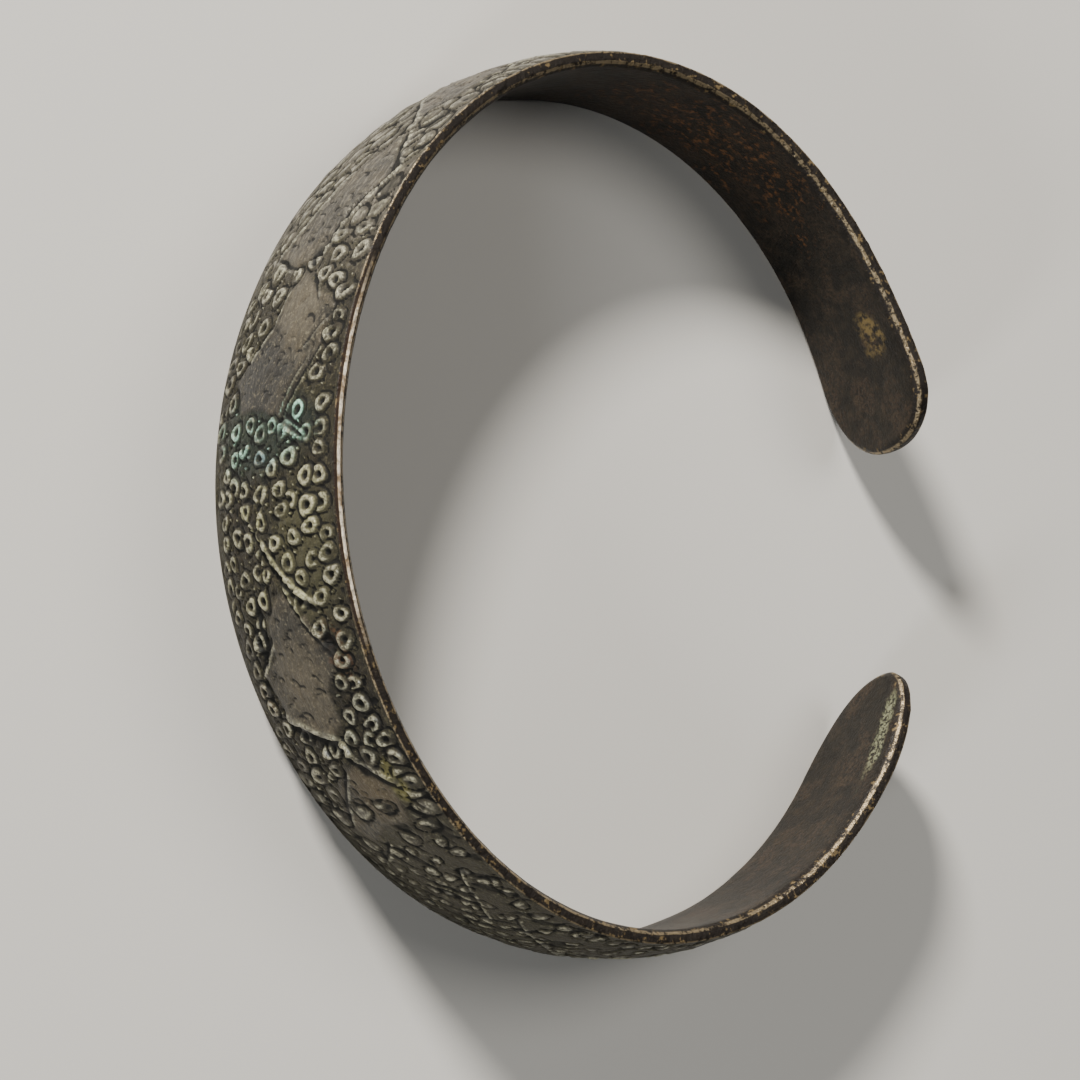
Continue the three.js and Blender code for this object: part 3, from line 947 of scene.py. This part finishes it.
# %% Paint the plain fields
field_tone = paint(
    "a plain field",
    bronze.mix(streak.ramp(0.34, 0.64), colour(38, 36, 32), colour(80, 75, 63)),
    (patches.ramp(0.42, 0.62) * 0.5, colour(84, 74, 55)),
    (cloud.ramp(0.52, 0.38) * 0.6, colour(36, 36, 34)),
    (mottle.ramp(0.5, 0.34) * 0.6, colour(24, 23, 21)),
    # Painted shade low in one field, and painted light above it.
    (patch(-7.5, 8.0, 5.5, 5.5, 0.5) * 0.75, colour(36, 36, 36)),
    (patch(-12.5, 12.0, 4.0, 3.0, 0.8) * 0.45, colour(98, 90, 74)),
    (patch(16.5, 9.5, 4.0, 4.5, 0.8) * 0.5, colour(92, 84, 68)),
    (patch(26.5, 11.0, 3.0, 3.0, 0.8) * 0.5, colour(98, 84, 58)),
    # Painted sheen, with streaks of painted highlight, towards one end.
    (painted_sheen_end * 0.3, colour(88, 84, 77)),
    (painted_sheen_end * streak.ramp(0.5, 0.68) * 0.5, colour(126, 120, 108)),
    # Bright specks: painted highlights.
    (speck.ramp(0.54, 0.68) * 0.55, colour(132, 124, 102)),
)
skin_colour = bronze.mix(face * plain_field * 0.88, skin_colour, field_tone)

# %% [markdown]
# The raised rings are paler than the ground: lime green in the middle of the back, mint green in one patch,
# pale and brown in two more, and grey towards the ends, paler towards one end as a painted sheen. Each mark
# is a little lighter or darker than its neighbours. Pale flecks on the crests are painted highlights, and the
# highest points get a painted glint; there they are also made smoother and more metallic, as if rubbed.

# %% Paint the raised marks
lime = patch(5.0, 10.5, 9.0, 10.0, 0.5)
pale = patch(20.5, 13.8, 4.0, 3.0, 0.6)
brown_rings = patch(19.5, 2.6, 5.5, 1.8, 0.5)
mint = patch(-3.2, 9.5, 3.9, 8.5, 0.5)
mint_bright = patch(-4.1, 14.6, 1.5, 1.5, 0.25)
mint_tone = bronze.mix(patch(-0.6, 9.6, 1.6, 3.0, 0.4), colour(122, 170, 148), colour(108, 150, 168))
crest_tone = paint(
    "a raised mark",
    bronze.mix(patches.ramp(0.36, 0.62), colour(84, 78, 62), colour(126, 122, 96)),
    # Paler grey towards one end: painted sheen.
    (along.ramp(-7.0, -16.0) * 0.7, colour(116, 112, 101)),
    (lime * (0.25 + mottle.ramp(0.35, 0.65) * 0.75), colour(186, 184, 132)),
    (pale * 0.7, colour(152, 156, 136)),
    (brown_rings * 0.6, colour(96, 74, 56)),
    (mint * 0.85, mint_tone),
    (on_crest.ramp(0.95, 0.45) * 0.5, colour(60, 58, 43)),
    (closed_marks * 0.75, colour(94, 89, 74)),
    # Painted sheen towards one end.
    (painted_sheen_end * 0.6, colour(112, 106, 94)),
    (mark_tone.ramp(0.7, 0.1) * 0.6, colour(58, 56, 44)),
    # Pale flecks: painted highlights.
    (fleck.ramp(0.5, 0.66) * (0.65 - closed_marks * 0.35), colour(184, 180, 150)),
    (mint_bright, colour(172, 230, 202)),
)
patchy = 0.4 + speck.ramp(0.36, 0.54) * 0.6
# A painted glint on the highest points, broken by specks; the same mask makes them smoother and more
# metallic.
highest = (standing + closed_marks * 0.14).ramp(0.72, 0.97)
painted_glint_and_wear = highest * speck.ramp(0.42, 0.6) * face * (1 - plain_field * 0.5)
skin_colour = paint(
    "the outer face",
    skin_colour,
    (mint * ground * 0.45, colour(28, 46, 42)),
    (raised * patchy, crest_tone),
    (painted_glint_and_wear * 0.75, bronze.mix(mint, colour(196, 192, 164), colour(176, 226, 204))),
)

# %% [markdown]
# Stains come over the paint: rust and a yellow spot by the upper edge, ochre and a spot on the inner face,
# and pale crust at one tip. Last, the band is darkened to near black wherever the relief is low.

# %% Add the stains and darken the low places
rust = patch(14.3, 15.4, 3.0, 1.6, 0.8) * face * fleck.ramp(0.42, 0.62)
yellow = patch(25.6, 14.4, 2.4, 1.1, 0.6) * face
inner_brown = inside * patches.ramp(0.42, 0.6)
ochre = patch(-64.0, 8.0, 13.0, 6.0, 1.2) * inside * fleck.ramp(0.48, 0.66) * speck.ramp(0.35, 0.6)
tip_stain = patch(-87.0, 9.4, 2.4, 1.6, 0.9) * inside * fleck.ramp(0.4, 0.6)
tip_crust = patch(86.0, 9.6, 5.0, 0.9, 1.1) * (1 - face) * speck.ramp(0.42, 0.6)
# Near black in the dots, trenches, grooves and pits, and wherever the relief lies below its smoothed shape.
dark_low_places = (hollow * 1.1 + sunk * 0.7).ramp(0.1, 0.9)
skin_colour = paint(
    "the stained band",
    skin_colour,
    (rust * 0.5, colour(104, 68, 42)),
    (yellow * 0.5, colour(134, 128, 74)),
    (inside * 0.6, colour(23, 20, 16)),
    (inner_brown * speck.ramp(0.38, 0.6) * 0.4, colour(76, 61, 47)),
    (ochre * 0.6, colour(140, 94, 54)),
    (tip_stain * 0.6, colour(132, 112, 68)),
    (tip_crust * 0.5, colour(156, 158, 122)),
    (dark_low_places * 0.92, colour(8, 8, 7)),
)

# %% [markdown]
# Along the middle of the back the upper edge is rubbed to a strip of bare, pale coppery metal with a brown
# line beside it; the strip's palest cream spots are partly a painted highlight. A broken painted highlight
# runs along the inner corner, and along the outer one wherever there is no copper. The number that tells how
# far across the edge a point is keeps the strip even, however the edge bends.

# %% Paint the rubbed edges and their painted highlights
copper_here = patch(-0.5, 17.6, 17.0, 6.0, 0.25)
copper = across_edge.ramp(0.24, 0.33) * across_edge.ramp(0.58, 0.48) * copper_here
brown_line = across_edge.ramp(0.04, 0.12) * across_edge.ramp(0.34, 0.24) * copper_here
# The lines along the corners are painted highlights.
outer_highlight = across_edge.ramp(0.14, 0.04) * off_edge.ramp(0.16, 0.03) * (1 - inside) * (1 - copper_here)
inner_highlight = across_edge.ramp(0.56, 0.64) * across_edge.ramp(0.86, 0.76)
broken = (speck * 0.5 + mottle * 0.5).ramp(0.4, 0.54)
line = (outer_highlight * 0.55 + inner_highlight * 0.6) * broken
# Painted highlights on the corners, together with the bare copper strip.
highlights_and_copper = (line + copper * edge * (0.55 + broken * 0.45)).ramp(0.0, 1.0)
# Copper paling to cream, the cream partly a painted highlight.
copper_and_highlight_tone = bronze.mix(mottle.ramp(0.38, 0.6), colour(166, 142, 112), colour(238, 224, 202))
skin_colour = paint(
    "the edge",
    skin_colour,
    (edge * 0.8, colour(28, 23, 19)),
    (edge * fleck.ramp(0.57, 0.67) * 0.6, colour(130, 110, 74)),
    (brown_line * edge * 0.8, colour(46, 32, 22)),
    (highlights_and_copper, bronze.mix(copper, colour(168, 150, 118), copper_and_highlight_tone)),
)

# %% [markdown]
# Corroded bronze is part metal, part stone. So roughness, metalness and the thin gloss of the coat
# follow the same masks as the colour, and a Bump node adds the grain that is too fine for the grid.
# Last, the band is tied to the model: it rides on its body and stands in for the plain solid.

# %% Set the sheen and the grain
BUMP_HEIGHT = 0.2 * MM
dull = 0.36 + mottle * 0.2 + dark_low_places * 0.3 - raised * 0.06 - highlights_and_copper * 0.14 - painted_glint_and_wear * 0.1
metal = 0.3 + highlights_and_copper * 0.6 + painted_glint_and_wear * 0.4 - dark_low_places * 0.3 - mint * raised * 0.3 - tip_crust * 0.3
grain = mottle * 0.5 + speck * 0.5 + fleck * 0.4 + streak * plain_field * 1.1
bump = bronze.node("ShaderNodeBump", None, {"Strength": 0.9, "Distance": BUMP_HEIGHT, "Height": grain})
bronze.set(Base_Color=skin_colour, Roughness=dull, Metallic=metal, Normal=bump, Specular_IOR_Level=0.22)
bronze.set(Coat_Weight=raised * 0.5 + face * plain_field * 0.15, Coat_Roughness=0.3)
band_mesh.materials.append(bronze.material)
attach(band, "root")
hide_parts(RING_NODE)
print("the finish has", len(bronze.tree.nodes), "nodes")

# %% [markdown]
# ## The floor
# A plain pale floor under the ring, large enough to fill the view.

# %% Make the floor
FLOOR_SIZE = 4.0
floor_mesh = bpy.data.meshes.new("floor")
shape = bmesh.new()
bmesh.ops.create_grid(shape, x_segments=1, y_segments=1, size=FLOOR_SIZE / 2)
shape.to_mesh(floor_mesh)
shape.free()
floor = bpy.data.objects.new("floor", floor_mesh)
bpy.context.scene.collection.objects.link(floor)
paper = Finish("pale_paper")
paper.set(Base_Color=colour(188, 185, 178), Roughness=0.75)
floor_mesh.materials.append(paper.material)
print("floor", FLOOR_SIZE, "m across")

# %% [markdown]
# ## The camera
# The ring lies down, so the camera looks down on it from the side that the photograph was taken
# from. Its direction is given by a turn, a tilt and a small roll. The photograph's scale, and the
# pixel that the hoop's axis falls on, then give the lens and the camera's place.

# %% Make the camera
CAMERA_TURN, CAMERA_TILT, CAMERA_ROLL = (math.radians(a) for a in (29.01, -8.08, 0.302))
CAMERA_DISTANCE = 420.0
PICTURE_SIZE = 1080
PIXELS_PER_MM = 12.0737
AXIS_PIXEL = (548.76, 516.67)
SENSOR = 36.0
NEAREST, FARTHEST = 0.01, 20.0

outward = Vector(
    (
        -math.sin(CAMERA_TURN) * math.cos(CAMERA_TILT),
        math.sin(CAMERA_TILT),
        math.cos(CAMERA_TURN) * math.cos(CAMERA_TILT),
    )
)
right = Vector((0, 1, 0)).cross(outward).normalized()
upward = outward.cross(right)
tilted = Matrix.Rotation(CAMERA_ROLL, 3, outward)
right, upward = tilted @ right, tilted @ upward
focal_pixels = PIXELS_PER_MM * CAMERA_DISTANCE
shift_right = (AXIS_PIXEL[0] - PICTURE_SIZE / 2) / PIXELS_PER_MM
shift_up = (PICTURE_SIZE / 2 - AXIS_PIXEL[1]) / PIXELS_PER_MM
place = outward * CAMERA_DISTANCE - right * shift_right - upward * shift_up

lens = bpy.data.cameras.new("camera")
lens.sensor_width = SENSOR
lens.lens = SENSOR * focal_pixels / PICTURE_SIZE
lens.clip_start, lens.clip_end = NEAREST, FARTHEST
camera = bpy.data.objects.new("camera", lens)
bpy.context.scene.collection.objects.link(camera)
turned = Matrix((right, upward, outward)).transposed().to_4x4()
camera.matrix_world = Matrix.Translation(place * MM + HOOP_AXIS.to_3d()) @ turned
bpy.context.scene.camera = camera
print("lens", round(lens.lens, 1), "mm")

# %% [markdown]
# ## The light
# Three soft lights. The key stands on the upper left and is small, so that it draws the marks, a
# weaker one lights the lower left, and a large one overhead lights the floor and the edges. A dim
# world keeps the shadows from going black.

# %% Make the lights
def softbox(name, location, size, watts, tint):
    light = bpy.data.lights.new(name, "AREA")
    light.shape = "DISK"
    light.size = size
    light.energy = watts
    light.color = tint
    lamp = bpy.data.objects.new(name, light)
    bpy.context.scene.collection.objects.link(lamp)
    lamp.location = location
    lamp.rotation_mode = "QUATERNION"
    lamp.rotation_quaternion = (-Vector(location)).to_track_quat("-Z", "Y")
    print(name, "light:", watts, "W,", size, "m across")


softbox("key", (-0.36, 0.47, 0.38), 0.12, 12.0, (1.0, 0.97, 0.93))
softbox("fill", (-0.45, -0.38, 0.26), 0.12, 2.2, (0.94, 0.97, 1.0))
softbox("top", (0.25, 0.15, 0.62), 0.35, 2.0, (1.0, 0.98, 0.95))

WORLD_TINT, WORLD_STRENGTH = (0.9, 0.93, 1.0, 1.0), 0.05
world = bpy.data.worlds.new("studio")
world.use_nodes = True
background = world.node_tree.nodes["Background"]
background.inputs["Color"].default_value = WORLD_TINT
background.inputs["Strength"].default_value = WORLD_STRENGTH
bpy.context.scene.world = world
